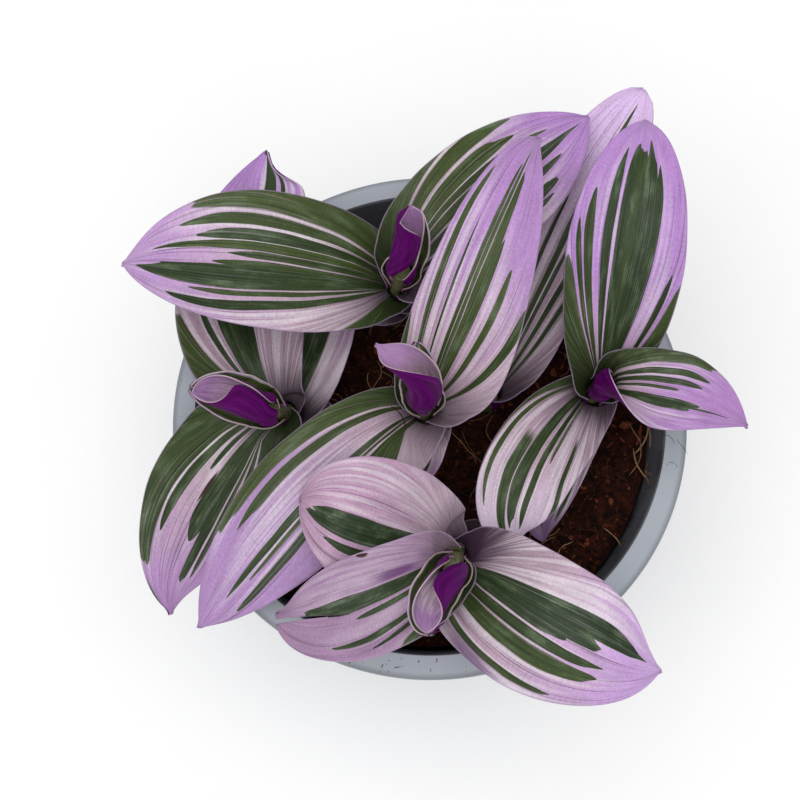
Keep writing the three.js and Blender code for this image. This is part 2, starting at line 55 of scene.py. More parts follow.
# The shoots repeat the solids' driving values, in mm. Each has its stem's foot and top, and its leaves and buds
# upwards. leaves become leaf_SHOOT_1 and so on, and buds, the rolled young leaves, its outer and its inner one.
# node is where a leaf's sheath opens, mid and tip are points of its midrib, and half is the half width left and
# right of it, looking from the stem to the tip. widest is the share of the blade where each side is widest,
# rise and taper how bluntly it narrows to the stem and to the tip, wrap the radius that a bud is rolled to, and
# fold how many degrees more each side curls over near the stem. tear is a wedge torn out of the blade: its two
# ends seen from above, and its width.
# stripes are green bands, numbered across where the blade is widest, 0 at the left edge and 1 at the right:
# from, to, the share of the blade that they reach along, tone (0 olive, 1 dark green) and the share they start
# at. fan is how much of their spread is left at the stem, on each side, lean how far they shift there, and sway
# how far they shift to the left at the tip.
# light is the tip's colour, which on two leaves is also painted light, noted there, blush how much further down
# the lavender comes, and flush how purple the foot is.
# marks are spots: across, along, their half sizes and their colour, which is brown if none is given.
SHOOTS = [
    dict(name="back", foot=(-8, 31), top=(-6.5, 25.5, 128), leaves=[
        dict(node=88.5, sheath=4, mid=(-17, 31, 92), tip=(-26, 32, 90), half=(7, 7)),
        dict(node=97, mid=(2, 38, 103), tip=(9, 46, 100), half=(8, 8)),
        dict(node=105.5, mid=(-38, 30, 119), tip=(-70.5, 33, 109), half=(16, 16.5), widest=(0.5, 0.48),
             rise=0.55, taper=(1.2, 1.3), fan=(0.15, 0.45), lean=0.02, light="#BC96CA",
             stripes=[(-.5, -.48, .45, .4), (.025, .125, .76, .8), (.165, .22, .7, .6), (.23, .44, .87, .85),
                      (.44, .505, .62, .6), (.52, .585, .58, .7), (.59, .66, .82, .3), (.665, .765, .7, .9),
                      (.79, .885, .75, .5), (.905, 1.5, .8, .3)]),
        dict(node=114.5, mid=(13, 46, 119), tip=(37, 68.5, 110), half=(14.5, 14), widest=(0.45, 0.5),
             stripes=[(-.5, -.1, .6, .4), (-.08, .06, .73, .3), (.09, .25, .7, .3), (.255, .32, .82, .6),
                      (.33, .43, .8, .5), (.45, .595, .91, .9), (.64, .72, .8, .9), (.77, .885, .75, .9),
                      (.89, .955, .64, .8)]),
    ], buds=[
        dict(node=121.5, mid=(-4.5, 31.5, 128), tip=(-3.7, 37, 135), half=(3.8, 5.2)),
        dict(node=127.5, mid=(-5, 31, 132), tip=(-4.6, 35.5, 140), half=(11.6, 4.4), wrap=2.7,
             widest=(0.65, 0.65), taper=(0.35, 0.35)),
    ]),
    dict(name="left", foot=(-31.5, 4), top=(-35.8, -4.5, 121), leaves=[
        dict(node=88.5, sheath=4, mid=(-25, -3, 96), tip=(-20, -10, 92), half=(6, 6)),
        dict(node=95, sheath=3.5, mid=(-26.5, 20, 97), tip=(-25.5, 38, 96), half=(9, 9), fan=(0.5, 0.5),
             stripes=[(.2, .7, .95, .9)]),
        dict(node=100.4, sheath=4.6, mid=(-42.5, 33, 102), tip=(-38.5, 63, 102), half=(17.5, 14.5), turn=25,
             widest=(0.36, 0.7), rise=0.7, taper=(2.2, 0.6), fan=(0, 0.3), marks=[(.5, 1.0, .3, .02)],
             stripes=[(-.5, -.22, .45, .3), (-.04, .04, .42, .9), (.11, .3, .44, .8), (.3, .5, .42, 1),
                      (.64, .75, 1.2, .8, .7), (.79, .83, 1.1, .8, .8)]),
        dict(node=107, sheath=3.5, mid=(-51, -22, 99), tip=(-59, -45, 93), half=(11.5, 15.5),
             widest=(0.38, 0.4), taper=(1, 1.3), cup=8, lift=35, fan=(-0.2, 0.3), light="#AC86B8",
             marks=[(.6, .43, .02, .07), (1, .9, .06, .06, "#2C3A28")],
             stripes=[(-.5, -.05, .5, .8), (.02, .15, .68, .8), (.19, .255, .78, .8), (.275, .4, .83, .9),
                      (.4, .6, .62, .9), (.66, .72, .37, 1), (.755, .845, .66, .8), (.86, 1.1, .82, .6),
                      (1.1, 1.5, .75, .6)]),
    ], buds=[
        dict(node=114.5, mid=(-43.6, -1.8, 119), tip=(-52.1, -0.1, 125), half=(5.8, 7.2)),
        dict(node=121.5, sheath=2.5, mid=(-43.5, -2.2, 124.5), tip=(-50.6, -2.8, 131), half=(12.3, 6.7),
             wrap=3.2),
    ]),
    dict(name="middle", foot=(-1.5, 1.5), top=(-1.5, -3, 126.5), leaves=[
        dict(node=97, mid=(-4, -9, 98), tip=(-10, -20, 92), half=(7, 7),
             stripes=[(.12, .22, .9, .5), (.78, 1.2, .9, .4)]),
        dict(node=105.5, mid=(-28.5, -23, 110.5), tip=(-52, -49, 99), half=(13.5, 13.5), clasp=(8, 7),
             widest=(0.5, 0.42), rise=0.5, taper=(0.85, 1.6), cup=10, roll=-8, fan=(-0.1, 0.3), lean=0.05,
             sway=0.3, blush=0.2, light="#AA86B8",
             stripes=[(-.3, .3, .3, .3), (.3, .38, .87, .8), (.45, .5, .75, .2), (.52, .6, .84, .8),
                      (.885, .995, .66, .5), (1.03, 1.5, .74, .3)]),
        dict(node=113.5, mid=(10, 24, 131), tip=(24, 57, 126), half=(10.5, 14.2), widest=(0.4, 0.27),
             taper=(0.65, 1.25), fan=(0.5, 0.2), blush=0.2, light="#AE84BE",
             stripes=[(-.5, -.12, .36, .4), (.03, .11, .8, .4), (.245, .272, .69, .9), (.405, .455, .89, .5),
                      (.462, .51, .9, .25), (.517, .61, .84, .4), (.61, .66, .62, .5), (.79, .87, .52, .4),
                      (1.11, 1.23, .46, .6)]),
    ], buds=[
        dict(node=119, mid=(-2.5, 3, 125), tip=(-3.4, 8, 132), half=(6, 4.8)),
        dict(node=127, mid=(-4.3, 0.5, 136), tip=(-12.1, 5.3, 141), half=(12.4, 6.5), wrap=3.4, lift=70,
             taper=(1.2, 1.2)),
    ]),
    dict(name="front", foot=(6.5, -26), top=(4, -40.3, 130), leaves=[
        dict(node=88.5, sheath=4, mid=(17, -38, 95), tip=(27, -42, 97), half=(7, 7)),
        dict(node=95, sheath=5, mid=(-9, -36, 102), tip=(-24, -41, 100), half=(8, 8)),
        dict(node=102.5, sheath=4.5, mid=(-11, -27, 117), tip=(-29, -22, 112), half=(17.5, 13),
             taper=(0.8, 0.8), roll=-6, cup=15, fan=(0.2, 0.2), lean=0.05, flush=0.5, blush=0.2,
             light="#B793AF",
             stripes=[(.14, .21, .76, .9), (.24, .345, .92, 1), (.345, .445, .86, 1)]),
        dict(node=110, sheath=5.5, mid=(24, -50.5, 119), tip=(50, -59, 107), half=(14.5, 16.3),
             widest=(0.58, 0.42), taper=(0.95, 1.25), fan=(0.1, 0.6), lean=0.05, flush=0.8, light="#C29DD2",
             marks=[(1.04, .37, .06, .1, "#5E3A68")],
             stripes=[(.185, .37, .92, 1), (.37, .47, .74, 1), (.47, .54, .6, 1), (.555, .65, .77, .8),
                      (.66, .8, .72, .5), (.93, .985, .64, .6)]),
        dict(node=117.5, sheath=5.5, mid=(-14, -45, 122), tip=(-34, -46.5, 109), half=(12.5, 9.5),
             widest=(0.52, 0.5), tear=((-17.6, -48.4), (-36, -48.8), 1.3), lean=0.05, flush=0.8,
             light="#9E7E9E", blush=0.6, marks=[(1.07, .45, .03, .03), (.68, .32, .08, .12, "#5A2466")],
             stripes=[(-.5, -.1, .5, .6), (-.025, .02, .54, .9), (.07, .135, .7, .9), (.3, .36, .58, .9),
                      (.4, .46, .72, .9), (.46, .59, .83, 1)]),
    ], buds=[
        dict(node=124.5, mid=(0.3, -47, 128.5), tip=(-0.8, -53.6, 133), half=(4.6, 7)),
        dict(node=130, mid=(-0.2, -46.6, 133.5), tip=(-1.5, -53.7, 138.5), half=(10.8, 5.9), wrap=3,
             stripes=[(.84, .88, .7, .6)]),
    ]),
    dict(name="right", foot=(37.5, 6.5), top=(38.6, 4, 112.5), leaves=[
        # Its tip colour is darkened as painted shade, where it lies under the leaf above
        dict(node=88.5, sheath=4, mid=(29.5, -11.5, 93), tip=(26.5, -28, 89), half=(6.5, 8), light="#80628A"),
        dict(node=96, mid=(23, -12.5, 103), tip=(19.6, -31.6, 97), half=(10.4, 10.8), widest=(0.55, 0.45),
             rise=0.6, fan=(0.4, 0.4), lean=0.1, sway=0.25, light="#D2BED3",
             stripes=[(.06, .12, .8, .8, .4), (.33, .365, .48, .6), (.405, .485, .86, .8), (.535, .69, .84, .8),
                      (.7, .84, 1.05, .7, .5), (1, 1.07, .72, .5), (1.11, 1.5, .7, .4)]),
        dict(node=104, mid=(42.5, 31, 123), tip=(49, 64, 119), half=(13, 13.5), widest=(0.52, 0.45), rise=0.75,
             taper=(1, 0.9), fan=(0.1, 0.3), blush=0.35,
             stripes=[(-.5, -.08, .5, .5), (-.05, .02, .6, .6), (.04, .15, .67, .6), (.245, .345, .83, .9),
                      (.375, .49, .86, .9), (.49, .6, .87, .7), (.6, .72, .87, .9), (.72, .8, .8, .9),
                      (.98, 1.05, .46, .8), (1.1, 1.5, .5, .5)]),
        dict(node=112, mid=(53, 1, 117), tip=(71, -5, 108), half=(9, 10.5), clasp=(8, 12), widest=(0.5, 0.3),
             taper=(1, 1.1), fold=(0, 190), fan=(0.5, 0.2), flush=0.6, blush=0.3, light="#AE82BE",
             stripes=[(-.5, .1, .77, .5), (.16, .26, .72, .7), (.295, .39, .7, .7), (.43, .48, .55, .6),
                      (.59, .67, .66, .9), (.67, .7, .86, .9), (.7, .76, .66, .9)]),
    ], buds=[]),
    dict(name="short", foot=(14, 6.5), top=(14.5, 7.4, 91.5), leaves=[
        # Its very pale tip colour is a painted highlight, for light shining through the blade
        dict(node=90.5, sheath=5, mid=(27.5, 38, 103), tip=(51, 78, 104), half=(11, 12.5), widest=(0.45, 0.6),
             taper=(0.55, 0.55), mouth=165, fan=(0.2, 0.2), light="#DDBFEA",
             stripes=[(.1, .2, .5, .8), (.39, .45, .66, .7), (.57, .64, .98, .5), (.66, .72, .52, .8),
                      (.8, .88, .5, .8), (.98, 1.06, .48, .8)]),
    ], buds=[]),
]

# What a row leaves out: for a leaf, and for the outer and the inner bud
LEAF = dict(sheath=6.5, clasp=(8, 8), mouth=100, lift=50, turn=0, wrap=0, fold=(0, 0), widest=(0.45, 0.45),
            rise=0.4, taper=(1, 1), cup=22, roll=0, ripple=0.4, tear=None, fan=(0.3, 0.3), lean=0, sway=0,
            light=None, blush=0, flush=0.2, marks=[],
            stripes=[(.05, .16, .8, .7), (.3, .42, .75, .8), (.48, .56, .85, .9), (.8, .92, .8, .7)])
OUTER_BUD = dict(LEAF, sheath=4.5, clasp=(6.5, 6.5), lift=45, widest=(0.5, 0.5), taper=(0.55, 0.55), cup=65,
                 ripple=0, fan=(1, 1), stripes=[(.03, .4, 1.2, 0), (.42, .58, 1.1, .1), (.6, .97, 1.2, 0)])
INNER_BUD = dict(OUTER_BUD, sheath=3, clasp=(7, 7), lift=60, widest=(0.45, 0.45), taper=(0.8, 0.8),
                 light="#A47EAC", stripes=[(.46, .52, .5, .5)])

# Bits of soil that stand out, in mm: crumbs by their place, size and shade, and rootlets and hairs by their
# ends, radius and shade
CRUMBS = [(46.8, 0.8, 83.8, 2.4, 0.8), (36.5, -8.5, 82.6, 1.6, 0.5), (-9.2, 28.2, 117.6, 0.7, 0.5),
          (-10.3, 27.2, 117.4, 0.5, 0.8), (-8.1, 29.3, 117.8, 0.45, 0.7), (-34.6, 1.2, 107.8, 0.45, 0.4),
          (-5.8, -47.2, 95.2, 0.4, 0.3)]
ROOTLETS = [((50.5, 3.5, 85), (51.5, -6, 90), 0.17, 0.8), ((51.8, 1.5, 87), (48.6, -6.5, 85), 0.2, 0.9),
            ((47.5, 1.5, 84.5), (50, -4, 87), 0.14, 0.7), ((48.4, -5, 84.5), (51.5, -13.5, 87.5), 0.18, 0.85),
            ((49.8, -3.5, 86), (47.2, -11.5, 84.5), 0.14, 0.7), ((51.5, -8, 88), (52.8, -17, 89), 0.12, 0.6),
            ((50.5, -10.5, 86), (53, -15.5, 89), 0.13, 0.8), ((41, -24, 83.5), (45, -28.5, 84.5), 0.15, 0.8),
            ((48.2, -22.5, 84.5), (50, -27, 86.5), 0.12, 0.7),
            ((44, -27.5, 84), (48.5, -29.5, 85.5), 0.12, 0.5),
            ((53.4, -4, 94.7), (56.5, -6.2, 95.1), 0.05, 0.3), ((57, -5, 94.9), (59.6, -8.4, 94.3), 0.05, 0.3),
            ((55, -10.5, 95), (57, -11.8, 94.7), 0.05, 0.3),
            ((-9, -1.1, 112.2), (-5.6, -6.8, 112.6), 0.15, 0.3)]

# Stems and sheaths, in mm and degrees. A stem leans from STEM_BEND above the soil on, and ends inside its last
# sheath.
STEM_RADIUS = 2.1
STEM_BEND = 2
STEM_ROOT_DEPTH = 20
STEM_END_SHARE = 0.6
STEM_RINGS = 30
GAP = 0.3
SHEATH_HALF_ANGLE = 150

# Shares of the blade's length: the sheath below it, the bend at the node, the open mouth, the curled foot, and
# how far the midrib keeps its first direction
SHEATH_SHARE = 0.06
BEND_SHARE = 0.06
MOUTH_SHARE = 0.07
FOLD_SHARE = 0.28
LIFT_SHARE = 0.18
ROW_CROWDING = 1.35

# Relief of a blade, in mm: waves in its margins, swellings between them and the groove over its midrib
TIP_HALF_WIDTH = 0.4
WAVE_HEIGHT, SWELL_HEIGHT, GROOVE_DEPTH = 0.3, 0.35, 0.4

# Pot and soil, in mm. The rim slopes down from the mouth, and the wall inside leans out from its foot.
POT_HEIGHT, FLOOR, MOUTH_RADIUS, RIM_SLOPE, WALL_FOOT, WALL_SLOPE = 95, 1.4, 54.2, 0.29, 41.8, 0.1325
DRAIN_HOLES, DRAIN_RADIUS, DRAIN_CIRCLE, DRAIN_DRILL, STEM_DRILL = 8, 4, 28, 20, 30
SOIL_TOP, SOIL_BOTTOM, SOIL_EDGE, SOIL_FOOT, SOIL_RINGS = 81, 4.3, 51.7, 41.5, 44
SOIL_SWELL, SOIL_GRAIN, SOIL_RISE = 0.72, 1.1, 1.6
LITTER_EDGE, FIBRE_EDGE, STEM_CLEARANCE, STRAND_STEPS = 51, 49, 3.2, 8
DUST_BEARING, DUST_RIM, DUST_WALL, DUST_WALL_SHARE = (-98, 9), (54.6, 59.2), (82.5, 92.5), 0.92

# The camera's place in mm and its lens, solved from the rim's circle, and the lamp and the floor in m
CAMERA_PLACE, CAMERA_LENS, SENSOR_WIDTH = (-6.96, -87.94, 485.24), 77.58, 36
KEY_PLACE, KEY_AIM, KEY_SIZE, FLOOR_SIZE = (-0.1, -0.2, 1.3), (0, 0, 0.1), 1.0, 4


def linear(code):
    """Turns an sRGB hex colour into the linear colour that the shaders take."""
    channels = [int(code[i:i + 2], 16) / 255 for i in (1, 3, 5)]
    return tuple(c / 12.92 if c <= 0.04045 else ((c + 0.055) / 1.055) ** 2.4 for c in channels) + (1.0,)


def length_mm(name, description, default):
    return FloatProperty(name=name, description=description, default=default * MM, min=0, subtype="DISTANCE",
                         unit="LENGTH")


def amount(name, description, default, smallest=0):
    return IntProperty(name=name, description=description, default=default, min=smallest)


def tint(name, description, code):
    return FloatVectorProperty(name=name, description=description, default=linear(code)[:3], subtype="COLOR",
                               size=3, min=0, max=1)


class PotSettings(bpy.types.PropertyGroup):
    """Sizes and colour of the nursery pot."""
    height: length_mm("Height", "Height of the pot", POT_HEIGHT)
    rim_radius: length_mm("Rim radius", "Outer radius of the rim", 60)
    rim_band: length_mm("Rim band", "Width of the rim's top band", 5.8)
    rim_drop: length_mm("Rim drop", "How far the rim's top band slopes down outwards", 1.7)
    skirt_depth: length_mm("Skirt depth", "Height of the skirt under the rim", 7.6)
    base_radius: length_mm("Base radius", "Outer radius at the foot", 43)
    wall: length_mm("Wall", "Wall thickness", 1.2)
    steps: amount("Steps", "Faces round the pot", 160, 24)
    plastic: tint("Plastic", "Colour of the grey plastic", "#A0A5AE")


class SoilSettings(bpy.types.PropertyGroup):
    """Amounts and colours of the coir soil."""
    crumbs: amount("Crumbs", "Number of loose crumbs on the soil", 6500)
    dust: amount("Dust", "Number of tiny crumbs on the pot's rim and wall", 170)
    fibres: amount("Fibres", "Number of coir fibres on the soil", 330)
    seed: amount("Seed", "Seed of the scattering", 11)
    dark: tint("Dark soil", "Colour of the damp soil", "#110705")
    bright: tint("Bright soil", "Colour of the drier coir", "#431C10")


class LeafSettings(bpy.types.PropertyGroup):
    """Mesh density and colours of the leaves."""
    thickness: length_mm("Thickness", "Thickness of a blade", 0.55)
    columns: amount("Columns", "Faces across a blade", 36, 6)
    rows: amount("Rows", "Faces along a blade", 64, 12)
    lavender: tint("Lavender", "Colour of the blade towards the tip", "#B386C8")
    pink: tint("Pink", "Colour of the pale bands", "#BBA0B1")
    green: tint("Green", "Colour of the dark green stripes", "#28391F")
    olive: tint("Olive", "Colour of the olive stripes", "#4C5A2A")
    purple: tint("Purple", "Colour of the underside", "#4C0351")


class StageSettings(bpy.types.PropertyGroup):
    """Floor, light and camera."""
    floor: tint("Floor", "Colour of the floor", "#FBFBFB")
    key_power: FloatProperty(name="Key light", description="Power of the soft light overhead", default=7.5,
                             min=0, unit="POWER")
    world: FloatProperty(name="Surround", description="Strength of the light all round", default=0.75, min=0)
    tilt: FloatProperty(name="Camera tilt", description="Camera's angle from straight down",
                        default=radians(13.3), subtype="ANGLE", unit="ROTATION")


SMOOTH = dict(interpolation_type="SMOOTHSTEP")
BLEND = dict(output="Result", data_type="RGBA")


def configure(target, **settings):
    """Sets properties of a modifier, node or lamp."""
    for name, value in settings.items():
        setattr(target, name, value)


def add_node(tree, kind, inputs=(), operation=None, output=0, **settings):
    """Adds a node with its settings and its inputs, in their order or by name, each a value, a hex colour or
    another node's output. Gives its output."""
    node = tree.nodes.new("ShaderNode" + kind)
    configure(node, **settings, **({"operation": operation} if operation else {}))
    for socket, value in inputs.items() if isinstance(inputs, dict) else enumerate(inputs):
        if isinstance(value, bpy.types.NodeSocket):
            tree.links.new(value, node.inputs[socket])
        else:
            node.inputs[socket].default_value = linear(value) if isinstance(value, str) else value
    return node.outputs[output]


def new_material(name, roughness, ior=1.45, **sockets):
    """A material, its surface shader with the values that are the same all over, and what adds nodes to it."""
    material = bpy.data.materials.new(name)
    material.use_nodes = True
    surface = material.node_tree.nodes["Principled BSDF"]
    for socket, value in {"Roughness": roughness, "IOR": ior, **sockets}.items():
        surface.inputs[socket.replace("_", " ")].default_value = value
    return material, surface, partial(add_node, material.node_tree)


def dress(surface, colour, relief=None, roughness=None):
    """Joins a colour, a relief and a roughness to the surface shader. relief is a height, its strength and its
    depth in mm."""
    tree, joined = surface.id_data, {"Base Color": colour}
    if relief:
        height, strength, depth = relief
        bump = {"Height": height, "Strength": strength, "Distance": depth * MM}
        joined["Normal"] = add_node(tree, "Bump", bump)
    if roughness is not None:
        joined["Roughness"] = roughness
    for socket, value in joined.items():
        tree.links.new(value, surface.inputs[socket])


def set_ramp(ramp, *stops):
    """Gives a colour ramp its stops: places and colours, as hex codes or as values."""
    stops = [(place, linear(tone) if isinstance(tone, str) else (*tone, 1)[:4]) for place, tone in stops]
    elements = ramp.node.color_ramp.elements
    elements.remove(elements[-1])
    elements[0].position, elements[0].color = stops[0]
    for position, colour in stops[1:]:
        elements.new(position).color = colour


def stripe_stops(stripes):
    """Ramp stops across a blade: red is how far a green stripe reaches along it, green rises from its edges to
    its middle, blue is its tone and alpha where it starts. Stripes that touch are joined up to their ends."""
    stops = []
    for i, (start, end, reach, tone, *low) in enumerate(stripes):
        before = 1 if start <= -0.5 else 0.4 if i and stripes[i - 1][1] == start else 0
        after = 1 if end >= 1.5 else 0.4 if i < len(stripes) - 1 and stripes[i + 1][0] == end else 0
        for x, centre in ((start, before), ((start + end) / 2, 1), (end, after)):
            stops.append(((x + 0.5) / 2, (reach * 0.8, centre, tone, low[0] if low else 0)))
    return stops


def blade_material(leaf, seed, look):
    """Leaf blade from above: waxy skin over parallel veins, matt to satin, so it shines in streaks."""
    material, surface, add = new_material(f"blade {leaf['name']}", 0.42, 1.42, Specular_IOR_Level=0.3)
    fan = add("UVMap", uv_map="fan")
    across = add("SeparateXYZ", (fan,))
    along = across.node.outputs["Y"]

    # Streaks that follow the veins: name, repeats across the blade, repeats along it, detail
    streak = {}
    for name, over, down, detail in (("wobble", 4, 3, 1), ("jitter", 45, 6, 1), ("finger", 12, 0.8, 0),
                                     ("vein", 60, 0.9, 3), ("sheen", 18, 1.2, 2), ("mottle", 5, 4, 4),
                                     ("ribs", 22, 130, 2), ("patch", 9, 7, 5)):
        spread = add("Mapping", {"Vector": fan, "Location": (seed * 3.7, seed * 1.9, seed),
                                 "Scale": (over, down, 1)})
        streak[name] = add("TexNoise", {"Vector": spread, "Scale": 1.0, "Detail": detail, "Roughness": 0.6})

    # Stripes wander a little, and their edges follow single veins
    wander = add("Math", (streak["wobble"], 0.03, across), "MULTIPLY_ADD")
    wander = add("Math", (streak["jitter"], 0.018, wander), "MULTIPLY_ADD")
    wander = add("Math", (wander, 0.5, 0.238), "MULTIPLY_ADD")
    ramp = add("ValToRGB", (wander,))
    set_ramp(ramp, *stripe_stops(leaf["stripes"]))
    reach = add("SeparateColor", (ramp,))
    centre, tone = reach.node.outputs["Green"], reach.node.outputs["Blue"]
    # A stripe ends in blunt fingers. share is how much of it lies behind a place, and 1 at its end.
    finger = add("MapRange", (streak["finger"], 0.3, 0.7, -0.05, 0.05))
    share = add("Math", (reach, 1.25), "MULTIPLY")
    share = add("Math", (along, share), "DIVIDE")
    share = add("Math", (share, finger), "ADD")
    share = add("Math", (share, 0.0), "MAXIMUM")
    green = add("Math", (share, 17.0), "POWER")
    green = add("Math", (centre, green), "SUBTRACT")
    green = add("MapRange", (green, 0.0, 0.09), **SMOOTH)
    begun = add("Math", (along, ramp.node.outputs["Alpha"]), "SUBTRACT")
    begun = add("MapRange", (begun, -0.14, -0.07), **SMOOTH)
    pale_line = add("MapRange", (streak["vein"], 0.6, 0.68, 1.0, 0.75), **SMOOTH)
    for limit in (begun, pale_line):
        green = add("Math", (green, limit), "MULTIPLY")

    # Pale bands: greyish pink near the stem, darkest there partly as painted shade, and lavender towards the tip
    length = add("Math", (along, leaf["blush"]))
    length = add("Math", (streak["mottle"], 0.4, length), "MULTIPLY_ADD")
    pale = add("ValToRGB", (length,))
    set_ramp(pale, (0.28, "#74606D"), (0.62, look.pink), (1.05, leaf["light"] or look.lavender))
    # Single veins fade out near the stem, where they run close together
    parted = add("MapRange", (along, 0.05, 0.35, 0.25, 1.0))
    vein = add("MapRange", (streak["vein"], 0.44, 0.34, 0.0, 0.75), **SMOOTH)
    vein = add("Math", (vein, parted), "MULTIPLY")
    # A white bloom lies beside the green and fades beyond its ends: partly the skin's own pale lines, partly
    # painted sheen
    bloom_and_sheen = add("MapRange", (streak["sheen"], 0.42, 0.6, 0.0, 0.9), **SMOOTH)
    fading = add("MapRange", (share, 1.12, 0.78, 0.04, 0.8 * (1 - leaf["blush"])))
    for limit in (fading, parted):
        bloom_and_sheen = add("Math", (bloom_and_sheen, limit), "MULTIPLY")
    stain = add("MapRange", (length, 0.42, 0.22, 0.0, leaf["flush"]), **SMOOTH)
    for layer, colour in ((vein, "#5E4560"), (bloom_and_sheen, "#DAD0D8"), (stain, "#3C0F40")):
        pale = add("Mix", {"Factor": layer, "A": pale, "B": colour}, **BLEND)

    # Green bands: olive to dark, greyer in patches as painted sheen, yellower near the stem, darker in the
    # furrows
    painted_sheen = add("MapRange", (streak["patch"], 0.45, 0.75, 0.0, 0.7), **SMOOTH)
    fresh = add("MapRange", (along, 0.5, 0.0, 0.0, 0.5))
    furrow = add("MapRange", (streak["vein"], 0.5, 0.36, 0.0, 0.75), **SMOOTH)
    deep = (*look.olive, 1)
    for layer, colour in ((tone, (*look.green, 1)), (painted_sheen, "#67765C"), (fresh, "#2E3B0F"),
                          (furrow, "#172012")):
        deep = add("Mix", {"Factor": layer, "A": deep, "B": colour}, **BLEND)
    skin = add("Mix", {"Factor": green, "A": pale, "B": deep}, **BLEND)

    # Fine ribs across and a cloudy skin, which is darker at the foot of the blade: partly its own colour, partly
    # painted shade from the stem and the leaves above
    ribs = add("MapRange", (streak["ribs"], 0.3, 0.7, 0.86, 1.1))
    cloud = add("MapRange", (streak["patch"], 0.3, 0.7, 0.86, 1.12))
    foot = add("MapRange", (along, 0.0, 0.2, 0.5, 1.0))
    for shade in (ribs, cloud, foot):
        skin = add("Mix", {"Factor": 1.0, "A": skin, "B": shade}, blend_type="MULTIPLY", **BLEND)
    # A thin pale or purplish margin
    edge = add("SeparateXYZ", (add("UVMap", uv_map="blade"),))
    edge = add("Math", (edge, 0.5), "SUBTRACT")
    edge = add("Math", (edge,), "ABSOLUTE")
    edge = add("MapRange", (edge, 0.491, 0.497, 0.0, 0.5), **SMOOTH)
    layers = [(edge, "#B0A294" if leaf["name"].startswith("bud") else "#A88FB0")]
    # Dry brown spots, and bruises of another colour, which are softer
    for x, y, wide, high, *colour in leaf["marks"]:
        limits = (2.1, 1.0, 0.0, 0.8) if colour else (1.7, 1.3, 0.0, 1.0)
        spot = add("VectorMath", (fan, (x, y, 0)), "SUBTRACT")
        spot = add("VectorMath", (spot, (1 / wide, 1 / high, 0)), "MULTIPLY")
        spot = add("VectorMath", (spot,), "LENGTH", "Value")
        spot = add("Math", (streak["jitter"], 1.2, spot), "MULTIPLY_ADD")
        layers.append((add("MapRange", (spot, *limits), **SMOOTH), colour[0] if colour else "#3A1B1C"))
    for layer, colour in layers:
        skin = add("Mix", {"Factor": layer, "A": skin, "B": colour}, **BLEND)

    # Veins stand up about 0.05 mm, drawn at 0.15 mm so that they show
    height = add("Math", (streak["ribs"], 0.35, streak["vein"]), "MULTIPLY_ADD")
    dress(surface, skin, (height, 0.8, 0.15), add("MapRange", (streak["sheen"], 0.3, 0.7, 0.3, 0.5)))
    return material


def grained_material(name, roughness, ior, repeats, detail, stops, relief, uv=None, lumps=0.5, shade=None,
                     **sockets):
    """A material whose grain gives it its colours and stands up a little. repeats are the grain's in a metre or
    over the UV map, relief is its strength and depth in mm, and shade an attribute that lightens each bit."""
    material, surface, add = new_material(name, roughness, ior, **sockets)
    place = add("UVMap", uv_map=uv) if uv else add("TexCoord", output="Object")
    place = add("Mapping", {"Vector": place, "Scale": repeats})
    grain = add("TexNoise", {"Vector": place, "Scale": 1.0, "Detail": detail, "Roughness": lumps})
    tone = grain
    if shade:
        tone = add("Attribute", output="Fac", attribute_name=shade)
        tone = add("Math", (grain, 0.35, tone), "MULTIPLY_ADD")
    tone = add("ValToRGB", (tone,))
    set_ramp(tone, *stops)
    dress(surface, tone, (grain, *relief))
    return material


def underside_material(look):
    """Leaf underside: smooth purple skin, vivid and satin, with faint lighter veins."""
    return grained_material("leaf underside", 0.4, 1.42, (24, 1.2, 1), 4.0,
                            [(0.3, "#360139"), (0.5, look.purple), (0.8, "#6A0E70")], (0.25, 0.1), uv="blade",
                            Specular_IOR_Level=0.08)


def stem_material():
    """Fleshy young stem: juicy green skin with a purple flush and fine lengthwise streaks, slightly glossy."""
    return grained_material("tradescantia stem", 0.42, 1.42, (900, 900, 60), 3.0,
                            [(0.3, "#3E4A24"), (0.52, "#6A7240"), (0.72, "#7A4A64")], (0.3, 0.1))


def soil_material(look):
    """Damp coir soil: matt, crumbly, dark brown with reddish drier bits."""
    return grained_material("coir soil", 0.92, 1.4, (500, 500, 500), 5.0,
                            [(0.38, look.dark), (0.72, look.bright)], (0.9, 0.8), lumps=0.7,
                            Specular_IOR_Level=0.2)


def litter_material(name, roughness, *stops):
    """Loose bits of coir and root, each in its own shade, matt like dry plant fibre."""
    return grained_material(name, roughness, 1.4, (1500, 1500, 1500), 3.0, stops, (0.5, 0.2), shade="shade",
                            Specular_IOR_Level=0.2)


